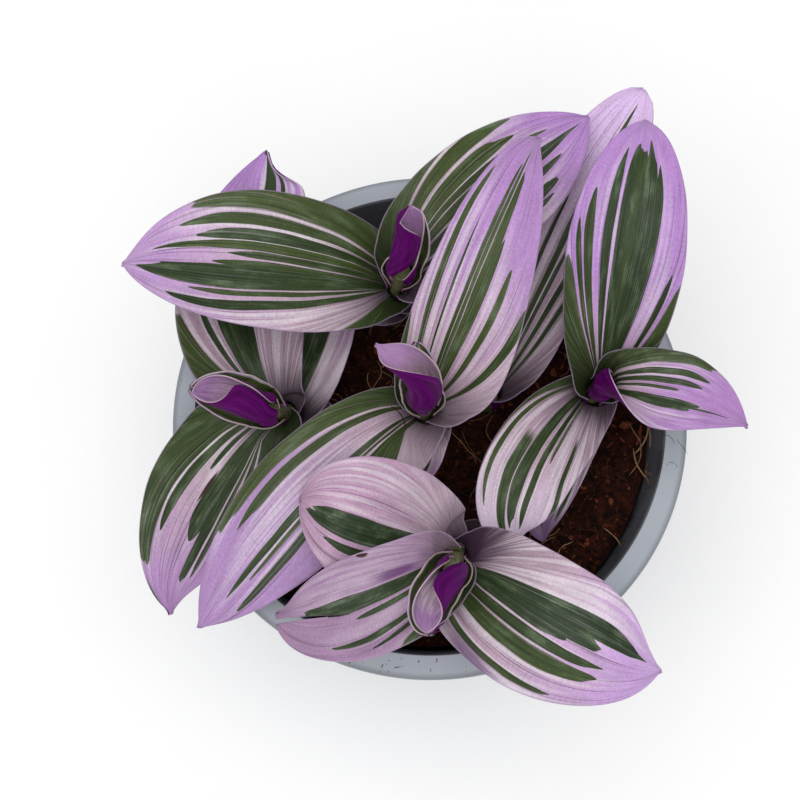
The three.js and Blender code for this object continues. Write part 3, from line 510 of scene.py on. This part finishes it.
def plastic_material(look):
    """Moulded grey polypropylene: dull satin skin, faint flow marks, dried dirt and a dark film inside, with
    painted shade on the rim's outer edge and down the inner wall.
    """
    material, surface, add = new_material("grey polypropylene", 0.4, 1.49)
    place = add("TexCoord", output="Object")
    # Flow marks about 10 mm wide, patches of dirt, and a moulded grain about 1 mm wide
    flow, patch, grain = [add("TexNoise", {"Vector": place, "Scale": scale, "Detail": detail})
                          for scale, detail in ((90.0, 5.0), (70.0, 4.0), (900.0, 2.0))]
    tone = add("MapRange", (flow, 0.3, 0.7, 0.95, 1.04))
    grey = add("Mix", {"Factor": 1.0, "A": (*look.plastic, 1), "B": tone}, blend_type="MULTIPLY", **BLEND)
    # Dirt: specks about 0.2 mm wide, thicker in some patches
    size = add("MapRange", (patch, 0.52, 0.8, 0.0, 0.3))
    dirt = add("TexVoronoi", {"Vector": place, "Scale": 900.0})
    dirt = add("Math", (dirt, size), "LESS_THAN")
    # The rim's outer edge is painted darker, as painted shade where its lip turns down away from the light
    radius = add("VectorMath", (place, (1, 1, 0)), "MULTIPLY")
    radius = add("VectorMath", (radius,), "LENGTH", "Value")
    height = add("SeparateXYZ", (place,), output="Z")
    rim_edge_shade = add("MapRange", (radius, 58.5 * MM, 59.8 * MM, 0.0, 0.55))
    top = add("MapRange", (height, 91.5 * MM, 92.5 * MM))
    rim_edge_shade = add("Math", (rim_edge_shade, top), "MULTIPLY")
    # The wall inside is darker than the rim: partly a film of dried mud, partly painted shade down the inner
    # wall
    mouth = add("MapRange", (height, 0.0, POT_HEIGHT * MM, 42.5 * MM, 54.7 * MM))
    inside = add("Math", (radius, mouth), "LESS_THAN")
    mud_film_and_shade = add("MapRange", (patch, 0.3, 0.7, 0.6, 0.92))
    mud_film_and_shade = add("Math", (inside, mud_film_and_shade), "MULTIPLY")
    # Dirt specks, then painted shade on the rim's outer edge, then the mud film and painted shade inside
    for layer, colour in ((dirt, "#33261F"), (rim_edge_shade, "#4A5058"), (mud_film_and_shade, "#1C1E24")):
        grey = add("Mix", {"Factor": layer, "A": grey, "B": colour}, **BLEND)
    dress(surface, grey, (grain, 0.15, 0.1), add("MapRange", {0: flow, 3: 0.3, 4: 0.55}))
    return material


def start_piece(operator, name, **settings):
    """Adds a primitive with nothing else selected and names it."""
    bpy.ops.object.select_all(action="DESELECT")
    operator(**settings)
    piece = bpy.context.active_object
    piece.name = piece.data.name = name
    return piece


def select_only(piece):
    bpy.ops.object.select_all(action="DESELECT")
    piece.select_set(True)
    bpy.context.view_layer.objects.active = piece


def finish_piece(piece, materials, slot, *nodes):
    """Leaves the piece at the origin with its place in its mesh, and puts it on the frame."""
    select_only(piece)
    bpy.ops.object.transform_apply(location=True, rotation=True, scale=True)
    if not piece.data.materials:
        for material in materials:
            piece.data.materials.append(material)
    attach(piece, "root")
    if nodes:
        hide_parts(*nodes)


def apply_modifiers(piece):
    """Applies every modifier of the piece in order."""
    select_only(piece)
    for modifier in list(piece.modifiers):
        bpy.ops.object.modifier_apply(modifier=modifier.name)


def cut_away(piece, cutters):
    """Cuts the cutters' shapes out of the piece and removes them."""
    for cutter in cutters:
        configure(piece.modifiers.new("cut", "BOOLEAN"), object=cutter, operation="DIFFERENCE", solver="EXACT")
    apply_modifiers(piece)
    for cutter in cutters:
        bpy.data.objects.remove(cutter)
    select_only(piece)


def drill(radius, depth, place):
    """A cylinder that cuts a hole, in mm."""
    return start_piece(bpy.ops.mesh.primitive_cylinder_add, "drill", vertices=32, radius=radius * MM,
                       depth=depth * MM, location=Vector(place) * MM)


def turn_outwards():
    """Points every face outwards and leaves edit mode."""
    bpy.ops.mesh.select_all(action="SELECT")
    bpy.ops.mesh.normals_make_consistent(inside=False)
    bpy.ops.object.mode_set(mode="OBJECT")


def smoothstep(x, low, high):
    t = min(max((x - low) / (high - low), 0), 1)
    return t * t * (3 - 2 * t)


def on_circle(radius, angle, z=0):
    return Vector((radius * cos(angle), radius * sin(angle), z))


def axis_point(shoot, z):
    """A point of the stem's axis at height z, in mm."""
    foot, top = Vector((*shoot["foot"], SOIL_TOP + STEM_BEND)), Vector(shoot["top"])
    return foot.lerp(top, (z - foot.z) / (top.z - foot.z)) if z > foot.z else Vector((*shoot["foot"], z))


def leaves_of(shoot):
    """The shoot's leaves from below upwards, then its young ones, each with its name and all its values."""
    kinds = [(f"leaf_{shoot['name']}_{i}", LEAF, row) for i, row in enumerate(shoot["leaves"], 1)]
    kinds += [(f"bud_{shoot['name']}_{side}", kind, row)
              for side, kind, row in zip(("outer", "inner"), (OUTER_BUD, INNER_BUD), shoot["buds"])]
    return [{**kind, **row, "name": name} for name, kind, row in kinds]


def bezier(points, t):
    """Place and direction on a cubic curve."""
    a, b, c, d = points
    s = 1 - t
    place = a * s ** 3 + b * 3 * s * s * t + c * 3 * s * t * t + d * t ** 3
    heading = (b - a) * s * s + (c - b) * 2 * s * t + (d - c) * t * t
    return place, heading.normalized()


def midrib(start, bearing, leaf):
    """The curve of the midrib: it leaves the sheath at the angle lift, and passes through mid and tip."""
    mid, tip, lift = Vector(leaf["mid"]), Vector(leaf["tip"]), radians(leaf["lift"])
    first = start + (bearing * cos(lift) + UP * sin(lift)) * (LIFT_SHARE * (tip - start).length)
    second = (mid * 8 - start - tip - first * 3) / 3
    return start, first, second, tip


def blade_profile(v, widest, rise, taper):
    """Half width at v, as a share of the widest."""
    if v < widest:
        return (1 - (1 - v / widest) ** 2) ** rise
    return (1 - ((v - widest) / (1 - widest)) ** 2) ** taper


def leaf_section(shoot, leaf, v):
    """One row of the leaf at v, from -SHEATH_SHARE at the sheath's foot through 0 at the node to 1 at the tip.
    Gives its place, side, normal, half lengths and half angles left and right, and its ripple."""
    node, mid, along = axis_point(shoot, leaf["node"]), Vector(leaf["mid"]), max(v, 0)
    axis = (Vector(shoot["top"]) - Vector((*shoot["foot"], SOIL_TOP + STEM_BEND))).normalized()
    bearing = Vector((mid.x - node.x, mid.y - node.y, 0)).normalized()
    bearing.rotate(Matrix.Rotation(radians(leaf["turn"]), 3, "Z"))
    inner, sheath_angle = STEM_RADIUS + 2 * GAP, radians(SHEATH_HALF_ANGLE)
    start = node + bearing * inner
    place, tangent = bezier(midrib(start, bearing, leaf), along)
    tangent = (tangent + axis * max(0, 1 - along / BEND_SHARE)).normalized()
    heading = Vector((tangent.x, tangent.y, 0)).normalized()
    halves = [max(hypot(clasp * (1 - along) ** 3, half * blade_profile(along, widest, leaf["rise"], taper)),
                  TIP_HALF_WIDTH)
              for half, clasp, widest, taper in zip(leaf["half"], leaf["clasp"], leaf["widest"], leaf["taper"])]
    cupped = radians(leaf["cup"] + (leaf["mouth"] - leaf["cup"]) * exp(-along / MOUTH_SHARE))
    rolled = inner + (leaf["wrap"] - inner) * smoothstep(v, 0, 0.4)
    folded = exp(-(along / FOLD_SHARE) ** 2)
    angles = [half / rolled if leaf["wrap"] else cupped + radians(fold) * folded
              for half, fold in zip(halves, leaf["fold"])]
    if v < 0:
        below = -leaf["sheath"] * v / SHEATH_SHARE
        closed = smoothstep(below, 0, leaf["sheath"] / 3)
        place, tangent = start - axis * below, tangent.lerp(axis, closed).normalized()
        heading = heading.lerp(bearing, closed).normalized()
        halves = [half + (inner * sheath_angle - half) * closed for half in halves]
        angles = [angle + (sheath_angle - angle) * closed for angle in angles]
    ripple = leaf["ripple"] * sin(v * 14 + leaf["node"]) * (1 - v) * smoothstep(v, 0.1, 0.3)
    side = UP.cross(heading)
    side = (side - tangent * side.dot(tangent)).normalized()
    turn = Matrix.Rotation(radians(leaf["roll"]) * smoothstep(v, 0, 0.5), 3, tangent)
    return place, turn @ side, turn @ tangent.cross(side), halves, angles, ripple


def fan_place(leaf, across, along):
    """Where a place of the blade lies among its veins, which spread from the stem like a fan."""
    root = (1 - max(along, 0)) ** 2
    spread = 1 - (1 - leaf["fan"][0 if across < 0.5 else 1]) * root
    shift = leaf["lean"] * root - leaf["sway"] * max(along, 0) ** 2
    return 0.5 + (across - 0.5 - shift) / max(spread, 0.12), along


def row_place(share):
    """Where a row lies along the leaf. Rows crowd on the sheath and at the node, where the sheet bends most."""
    return share ** ROW_CROWDING * (1 + SHEATH_SHARE) - SHEATH_SHARE


def make_leaf(shoot, leaf, settings, materials, seed):
    """A sheet that clasps the stem as a sheath and opens into the blade, then gets its thickness."""
    piece = start_piece(bpy.ops.mesh.primitive_grid_add, leaf["name"] + "_blade", size=1,
                        x_subdivisions=settings.columns, y_subdivisions=settings.rows)
    mesh = piece.data
    mesh.uv_layers[0].name = "blade"
    mesh.uv_layers.new(name="fan")
    thin = piece.vertex_groups.new(name="thin")
    for vertex in mesh.vertices:
        u, v = -2 * vertex.co.x, row_place(vertex.co.y + 0.5)
        k = 0 if u > 0 else 1
        place, side, normal, halves, angles, ripple = leaf_section(shoot, leaf, v)
        open_share = smoothstep(v, 0.05, 0.25) * (0 if leaf["wrap"] else 1)
        wave = noise.noise(Vector((v * 7, seed * 5.3, 3 - 6 * k))) * open_share
        swell = noise.noise(Vector((v * 5, u * 1.5, seed * 2.7))) * open_share
        groove = exp(-(u / 0.07) ** 2) * open_share * (1 - v)
        turn, radius = angles[k] * u, halves[k] * (1 + 0.02 * wave) / angles[k]
        inward = normal * cos(turn) - side * sin(turn)
        point = place + side * (radius * sin(turn)) + normal * (radius * (1 - cos(turn)))
        point += inward * ((ripple + WAVE_HEIGHT * wave) * u * u + SWELL_HEIGHT * swell - GROOVE_DEPTH * groove)
        vertex.co = point * MM
        thin.add([vertex.index], 1 - 0.65 * abs(u) ** 6, "REPLACE")
    for loop, fanned in zip(mesh.uv_layers["blade"].data, mesh.uv_layers["fan"].data):
        loop.uv.y = row_place(loop.uv.y)
        fanned.uv = fan_place(leaf, *loop.uv)
    configure(piece.modifiers.new("thickness", "SOLIDIFY"), thickness=settings.thickness, offset=-1,
              vertex_group="thin", thickness_vertex_group=0.3, material_offset=1, material_offset_rim=0)
    for material in materials:
        mesh.materials.append(material)
    apply_modifiers(piece)
    if leaf["tear"]:
        tear_blade(piece, *leaf["tear"])
    bpy.ops.object.shade_smooth()
    piece.vertex_groups.clear()
    finish_piece(piece, materials, "bud" if leaf["name"].startswith("bud") else "leaf", leaf["name"])


def tear_blade(piece, start, end, width):
    """Cuts a thin wedge out of the blade, seen from above, as wide as given at its end."""
    start, end = Vector(start), Vector(end)
    aside = (end - start).orthogonal().normalized() * width / 2
    cutter = start_piece(bpy.ops.mesh.primitive_cube_add, "tear", size=1)
    middle, height = 110, 80
    corners = {(-0.5, -0.5): start, (-0.5, 0.5): start - aside * 0.02, (0.5, -0.5): end + aside,
               (0.5, 0.5): end - aside}
    for vertex in cutter.data.vertices:
        corner = corners[(vertex.co.x, vertex.co.y)]
        vertex.co = Vector((*corner, middle + height * vertex.co.z)) * MM
    bpy.ops.object.mode_set(mode="EDIT")
    turn_outwards()
    cut_away(piece, [cutter])


class TRADESCANTIA_OT_leaves(bpy.types.Operator):
    """Make every leaf and rolled young leaf"""
    bl_idname = "tradescantia.leaves"
    bl_label = "Leaves"

    def execute(self, context):
        settings = context.scene.tradescantia_leaves
        underside = underside_material(settings)
        leaves = [(shoot, leaf) for shoot in SHOOTS for leaf in leaves_of(shoot)]
        for seed, (shoot, leaf) in enumerate(leaves, 1):
            make_leaf(shoot, leaf, settings, (blade_material(leaf, seed, settings), underside), seed)
        return {"FINISHED"}


class TRADESCANTIA_OT_stems(bpy.types.Operator):
    """Make the stems, thickened at each node"""
    bl_idname = "tradescantia.stems"
    bl_label = "Stems"

    def execute(self, context):
        skin = stem_material()
        for shoot in SHOOTS:
            leaves = leaves_of(shoot)
            nodes = [leaf["node"] for leaf in leaves]
            low, high = SOIL_TOP - STEM_ROOT_DEPTH, nodes[-1] - STEM_END_SHARE * leaves[-1]["sheath"]
            before, wide = axis_point(shoot, low), 1.0
            piece = start_piece(bpy.ops.mesh.primitive_circle_add, f"stem_{shoot['name']}_skin", vertices=20,
                                radius=STEM_RADIUS * 0.97 * MM, fill_type="NGON", location=before * MM)
            bpy.ops.object.mode_set(mode="EDIT")
            bpy.ops.mesh.select_all(action="SELECT")
            for i in range(1, STEM_RINGS + 1):
                z = low + (high - low) * i / STEM_RINGS
                centre = axis_point(shoot, z)
                bpy.ops.mesh.extrude_region_move(TRANSFORM_OT_translate={"value": (centre - before) * MM})
                swelling = 1 - 0.07 * min(min(abs(z - node) for node in nodes) / 3, 1)
                bpy.ops.transform.resize(value=(swelling / wide,) * 2 + (1,), center_override=centre * MM)
                before, wide = centre, swelling
            turn_outwards()
            bpy.ops.object.shade_smooth_by_angle(angle=radians(40))
            finish_piece(piece, [skin], "stem", f"stem_{shoot['name']}")
        return {"FINISHED"}


class TRADESCANTIA_OT_pot(bpy.types.Operator):
    """Make the nursery pot by turning its profile, with its drain holes"""
    bl_idname = "tradescantia.pot"
    bl_label = "Pot"

    def execute(self, context):
        s = context.scene.tradescantia_pot
        edge, rise, floor, disc, slope = 0.5 * MM, 2.6 * MM, FLOOR * MM, 15 * MM, 1 * MM
        foot_width, skirt_wall = 2.4 * MM, 1.1 * MM
        mouth, inner_foot = s.rim_radius - s.rim_band, s.base_radius - s.wall
        skirt_top, wall_top = s.height - s.rim_drop, s.height - 2 * s.wall
        skirt_inner = s.rim_radius - skirt_wall - edge
        channel_in, channel_out = disc + slope, s.base_radius - foot_width - slope
        wall_radius = inner_foot + (mouth - inner_foot) * (wall_top - floor) / (s.height - floor) + s.wall
        profile = [
            (0, 0), (disc, 0), (channel_in, rise), (channel_out, rise), (channel_out + slope, 0),
            (s.base_radius - edge, 0), (s.base_radius, edge), (wall_radius, wall_top),
            (skirt_inner, skirt_top - s.wall), (skirt_inner, skirt_top - s.skirt_depth),
            (s.rim_radius - edge, skirt_top - s.skirt_depth), (s.rim_radius, skirt_top - 2 * edge),
            (s.rim_radius - edge / 2, skirt_top - edge / 2), (s.rim_radius - 2 * edge, skirt_top),
            (mouth + edge, s.height), (mouth, s.height - edge), (inner_foot, floor), (channel_out, floor),
            (channel_out - slope, rise + floor), (channel_in + slope, rise + floor), (channel_in, floor),
            (0, floor),
        ]
        piece = start_piece(bpy.ops.mesh.primitive_plane_add, "pot_shell", size=1)
        mesh = bmesh.new()
        points = [mesh.verts.new((x, 0, z)) for x, z in profile]
        for a, b in zip(points, points[1:]):
            mesh.edges.new((a, b))
        mesh.to_mesh(piece.data)
        mesh.free()
        bpy.ops.object.mode_set(mode="EDIT")
        bpy.ops.mesh.select_all(action="SELECT")
        bpy.ops.mesh.spin(steps=s.steps, angle=2 * pi, center=(0, 0, 0), axis=(0, 0, 1))
        bpy.ops.mesh.select_all(action="SELECT")
        bpy.ops.mesh.remove_doubles(threshold=0.01 * MM)
        turn_outwards()
        angles = [(i + 0.5) / DRAIN_HOLES * 2 * pi for i in range(DRAIN_HOLES)]
        cut_away(piece, [drill(DRAIN_RADIUS, DRAIN_DRILL, on_circle(DRAIN_CIRCLE, angle)) for angle in angles])
        configure(piece.modifiers.new("edges", "BEVEL"), width=0.25 * MM, segments=2, limit_method="ANGLE",
                  angle_limit=radians(35))
        apply_modifiers(piece)
        bpy.ops.object.shade_smooth_by_angle(angle=radians(35))
        finish_piece(piece, [plastic_material(s)], "pot", "pot")
        return {"FINISHED"}


def soil_height(x, y):
    """Height of the soil at a place, in mm: the solid's low swells with fine crumbs on them."""
    swell = sin(x * 0.11 + 0.6) * cos(y * 0.13 - 0.4)
    lumps = sin(x * 0.37 + y * 0.21) * sin(y * 0.43 - x * 0.17 + 1.3)
    crumbs = noise.fractal(Vector((x, y, 0)) * 0.35, 0.9, 2.1, 5)
    rise = smoothstep(hypot(x, y), 40, 51)
    return SOIL_TOP + SOIL_SWELL * (swell + lumps) + SOIL_GRAIN * crumbs + SOIL_RISE * rise


class TRADESCANTIA_OT_soil(bpy.types.Operator):
    """Make the soil that fills the pot, with a plain hole for each stem"""
    bl_idname = "tradescantia.soil"
    bl_label = "Soil"

    def execute(self, context):
        piece = start_piece(bpy.ops.mesh.primitive_cylinder_add, "soil_body", vertices=144,
                            radius=SOIL_EDGE * MM, depth=(SOIL_TOP - SOIL_BOTTOM) * MM,
                            location=(0, 0, (SOIL_TOP + SOIL_BOTTOM) / 2 * MM))
        bpy.ops.object.transform_apply(location=True)
        bpy.ops.object.mode_set(mode="EDIT")
        bpy.ops.mesh.select_mode(type="FACE")
        bpy.ops.mesh.select_all(action="DESELECT")
        mesh = bmesh.from_edit_mesh(piece.data)
        for face in mesh.faces:
            face.select_set(face.normal.z > 0.9)
        bmesh.update_edit_mesh(piece.data)
        for _ in range(SOIL_RINGS):
            bpy.ops.mesh.inset(thickness=SOIL_EDGE / (SOIL_RINGS + 1) * MM, depth=0)
        bpy.ops.object.mode_set(mode="OBJECT")
        for vertex in piece.data.vertices:
            if vertex.co.z / MM > SOIL_TOP - 1:
                vertex.co.z = soil_height(vertex.co.x / MM, vertex.co.y / MM) * MM
            else:
                vertex.co.xy = vertex.co.xy * (SOIL_FOOT / SOIL_EDGE)
        middle = SOIL_TOP - STEM_ROOT_DEPTH - GAP + STEM_DRILL / 2
        cut_away(piece, [drill(STEM_RADIUS + GAP, STEM_DRILL, (*shoot["foot"], middle)) for shoot in SHOOTS])
        bpy.ops.object.shade_smooth_by_angle(angle=radians(60))
        finish_piece(piece, [soil_material(context.scene.tradescantia_soil)], "soil", "soil")
        return {"FINISHED"}


def scatter_piece(name, parts, material):
    """Joins many small meshes, each given by its points, faces and shade, into one piece."""
    mesh = bpy.data.meshes.new(name)
    points, faces, shades = [], [], []
    for part_points, part_faces, shade in parts:
        faces.extend([tuple(len(points) + i for i in face) for face in part_faces])
        points.extend(part_points)
        shades.extend([shade] * len(part_points))
    mesh.from_pydata(points, [], faces)
    mesh.attributes.new("shade", "FLOAT", "POINT").data.foreach_set("value", shades)
    piece = bpy.data.objects.new(name, mesh)
    bpy.context.scene.collection.objects.link(piece)
    finish_piece(piece, [material], "soil")


def crumb_mesh(chance, centre, size):
    """A rough lump with twenty faces, flattened and turned at random. Every fourth is a long splinter."""
    mesh = bmesh.new()
    bmesh.ops.create_icosphere(mesh, subdivisions=1, radius=1)
    stretch = Vector((chance.uniform(0.6, 1.3), chance.uniform(0.5, 1), chance.uniform(0.35, 0.8)))
    if chance.random() < 0.25:
        stretch = Vector((chance.uniform(1.8, 3.2), chance.uniform(0.25, 0.6), chance.uniform(0.2, 0.4)))
    turn = Matrix.Rotation(chance.uniform(0, 6.3), 3, "Z") @ Matrix.Rotation(chance.uniform(-0.6, 0.6), 3, "X")
    points = [(Vector(centre) + turn @ (vertex.co * stretch * chance.uniform(0.55, 1.3)) * size) * MM
              for vertex in mesh.verts]
    faces = [[v.index for v in face.verts] for face in mesh.faces]
    mesh.free()
    return points, faces


def strand_mesh(path, radius, sides=3):
    """A thin strand along a path of points in mm, pointed at both ends."""
    points, faces, last = [], [], len(path) - 1
    for i, place in enumerate(path):
        heading = (path[min(i + 1, last)] - path[max(i - 1, 0)]).normalized()
        arm = heading.orthogonal().normalized() * radius * (0.3 if i in (0, last) else 1)
        for j in range(sides):
            points.append((place + Matrix.Rotation(j / sides * 2 * pi, 3, heading) @ arm) * MM)
    for i in range(last):
        for j in range(sides):
            k = (j + 1) % sides
            faces.append((i * sides + j, i * sides + k, (i + 1) * sides + k, (i + 1) * sides + j))
    faces.append(tuple(range(sides))[::-1])
    faces.append(tuple(last * sides + j for j in range(sides)))
    return points, faces


def hump(i):
    """Height of a low arch over a strand's points."""
    return sin(i / STRAND_STEPS * pi)


class TRADESCANTIA_OT_litter(bpy.types.Operator):
    """Scatter crumbs, fibres and rootlets on the soil"""
    bl_idname = "tradescantia.litter"
    bl_label = "Crumbs and fibres"

    def execute(self, context):
        s = context.scene.tradescantia_soil
        chance = random.Random(s.seed)
        crumbs, fibres = [], []
        while len(crumbs) < s.crumbs:
            place = on_circle(LITTER_EDGE * sqrt(chance.random()), chance.uniform(0, 2 * pi))
            if any((place.xy - Vector(shoot["foot"])).length < STEM_CLEARANCE for shoot in SHOOTS):
                continue
            size = 0.3 + 0.8 * chance.random() ** 4
            place.z = soil_height(place.x, place.y) + size * chance.uniform(-0.1, 0.5)
            crumbs.append((*crumb_mesh(chance, place, size), chance.random() ** 2))
        # Dust on the rim in front and on the wall inside
        for _ in range(s.dust):
            angle, size = radians(chance.gauss(*DUST_BEARING)), chance.uniform(0.1, 0.3)
            radius = chance.uniform(*DUST_RIM)
            high = POT_HEIGHT - (radius - MOUTH_RADIUS) * RIM_SLOPE + size * 0.2
            if chance.random() < DUST_WALL_SHARE:
                low, top = DUST_WALL
                angle, high = chance.uniform(0, 2 * pi), low + (top - low) * chance.random() ** 2
                radius = WALL_FOOT + (high - FLOOR) * WALL_SLOPE - size * 0.2
            crumbs.append((*crumb_mesh(chance, on_circle(radius, angle, high), size), chance.random() * 0.6))
        for x, y, z, size, shade in CRUMBS:
            crumbs.append((*crumb_mesh(chance, (x, y, z), size), shade))
        scatter_piece("soil_crumbs", crumbs, litter_material(
            "coir crumbs", 0.92, (0.15, "#0E0605"), (0.4, "#2A120B"), (0.8, "#4C2315"), (1.15, "#663622")))
        for _ in range(s.fibres):
            place = on_circle(FIBRE_EDGE * sqrt(chance.random()), chance.uniform(0, 2 * pi))
            heading, bend = chance.uniform(0, 6.3), chance.uniform(-0.35, 0.35)
            lift, path = chance.uniform(0.1, 1.2), []
            for i in range(STRAND_STEPS + 1):
                high = soil_height(place.x, place.y) + 0.3 + lift * hump(i)
                path.append(Vector((place.x, place.y, high)))
                place += on_circle(1, heading) * chance.uniform(0.6, 1.8)
                heading += bend + chance.uniform(-0.3, 0.3)
                if place.length > LITTER_EDGE:
                    place *= LITTER_EDGE / place.length
            fibres.append((*strand_mesh(path, chance.uniform(0.06, 0.14)), chance.random()))
        for start, end, radius, shade in ROOTLETS:
            start, end = Vector(start), Vector(end)
            aside = (end - start).cross(UP) * chance.uniform(-0.2, 0.2)
            path = [start.lerp(end, i / STRAND_STEPS) + aside * hump(i)
                    + UP * (0.6 * hump(i) + chance.uniform(-0.1, 0.1)) for i in range(STRAND_STEPS + 1)]
            fibres.append((*strand_mesh(path, radius, 5), shade))
        scatter_piece("soil_fibres", fibres, litter_material(
            "coir fibres", 0.85, (0.15, "#120B09"), (0.7, "#45291B"), (1.15, "#9A7A58")))
        return {"FINISHED"}


class TRADESCANTIA_OT_stage(bpy.types.Operator):
    """Make the floor, the soft light and the camera"""
    bl_idname = "tradescantia.stage"
    bl_label = "Floor, light and camera"

    def execute(self, context):
        s = context.scene.tradescantia_stage
        floor = start_piece(bpy.ops.mesh.primitive_plane_add, "floor", size=FLOOR_SIZE)
        # White card: matt, with a barely visible grain
        card, surface, add = new_material("white card", 0.9)
        grain = add("TexNoise", {"Vector": add("TexCoord", output="Object"), "Scale": 300.0})
        tone = add("MapRange", {0: grain, 3: 0.985, 4: 1.0})
        white = add("Mix", {"Factor": 1.0, "A": (*s.floor, 1), "B": tone}, blend_type="MULTIPLY", **BLEND)
        dress(surface, white)
        floor.data.materials.append(card)
        bpy.ops.object.select_all(action="DESELECT")
        bpy.ops.object.light_add(type="AREA", location=KEY_PLACE)
        key = context.active_object
        key.name = "key_light"
        configure(key.data, size=KEY_SIZE, energy=s.key_power)
        key.rotation_euler = (Vector(KEY_AIM) - key.location).to_track_quat("-Z", "Y").to_euler()
        world = bpy.data.worlds.new("soft surround")
        world.use_nodes = True
        background = world.node_tree.nodes["Background"]
        background.inputs["Color"].default_value = (1, 1, 1, 1)
        background.inputs["Strength"].default_value = s.world
        context.scene.world = world
        context.scene.view_settings.view_transform = "Standard"
        bpy.ops.object.camera_add(location=Vector(CAMERA_PLACE) * MM, rotation=(s.tilt, 0, 0))
        camera = context.active_object
        camera.name = "camera"
        configure(camera.data, lens=CAMERA_LENS, sensor_width=SENSOR_WIDTH, clip_start=0.01)
        context.scene.camera = camera
        return {"FINISHED"}


OPERATORS = (TRADESCANTIA_OT_stage, TRADESCANTIA_OT_pot, TRADESCANTIA_OT_soil, TRADESCANTIA_OT_litter,
             TRADESCANTIA_OT_stems, TRADESCANTIA_OT_leaves)
SETTINGS = {"tradescantia_pot": PotSettings, "tradescantia_soil": SoilSettings,
            "tradescantia_leaves": LeafSettings, "tradescantia_stage": StageSettings}


class TRADESCANTIA_PT_sidebar(bpy.types.Panel):
    """Lists the pieces and their settings in the sidebar"""
    bl_label = "Potted tradescantia"
    bl_idname = "TRADESCANTIA_PT_sidebar"
    bl_space_type = "VIEW_3D"
    bl_region_type = "UI"
    bl_category = "Tradescantia"

    def draw(self, context):
        for operator in OPERATORS:
            self.layout.operator(operator.bl_idname)
        for name, group in SETTINGS.items():
            box = self.layout.box()
            for setting in group.__annotations__:
                box.prop(getattr(context.scene, name), setting)


def register():
    for group in (*SETTINGS.values(), *OPERATORS, TRADESCANTIA_PT_sidebar):
        bpy.utils.register_class(group)
    for name, group in SETTINGS.items():
        setattr(bpy.types.Scene, name, PointerProperty(type=group))


def unregister():
    for name in SETTINGS:
        delattr(bpy.types.Scene, name)
    for group in (TRADESCANTIA_PT_sidebar, *OPERATORS, *SETTINGS.values()):
        bpy.utils.unregister_class(group)


def main():
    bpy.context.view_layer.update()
    register()
    bpy.ops.tradescantia.stage()
    bpy.ops.tradescantia.pot()
    bpy.ops.tradescantia.soil()
    bpy.ops.tradescantia.litter()
    bpy.ops.tradescantia.stems()
    bpy.ops.tradescantia.leaves()


if __name__ == "__main__":
    main()
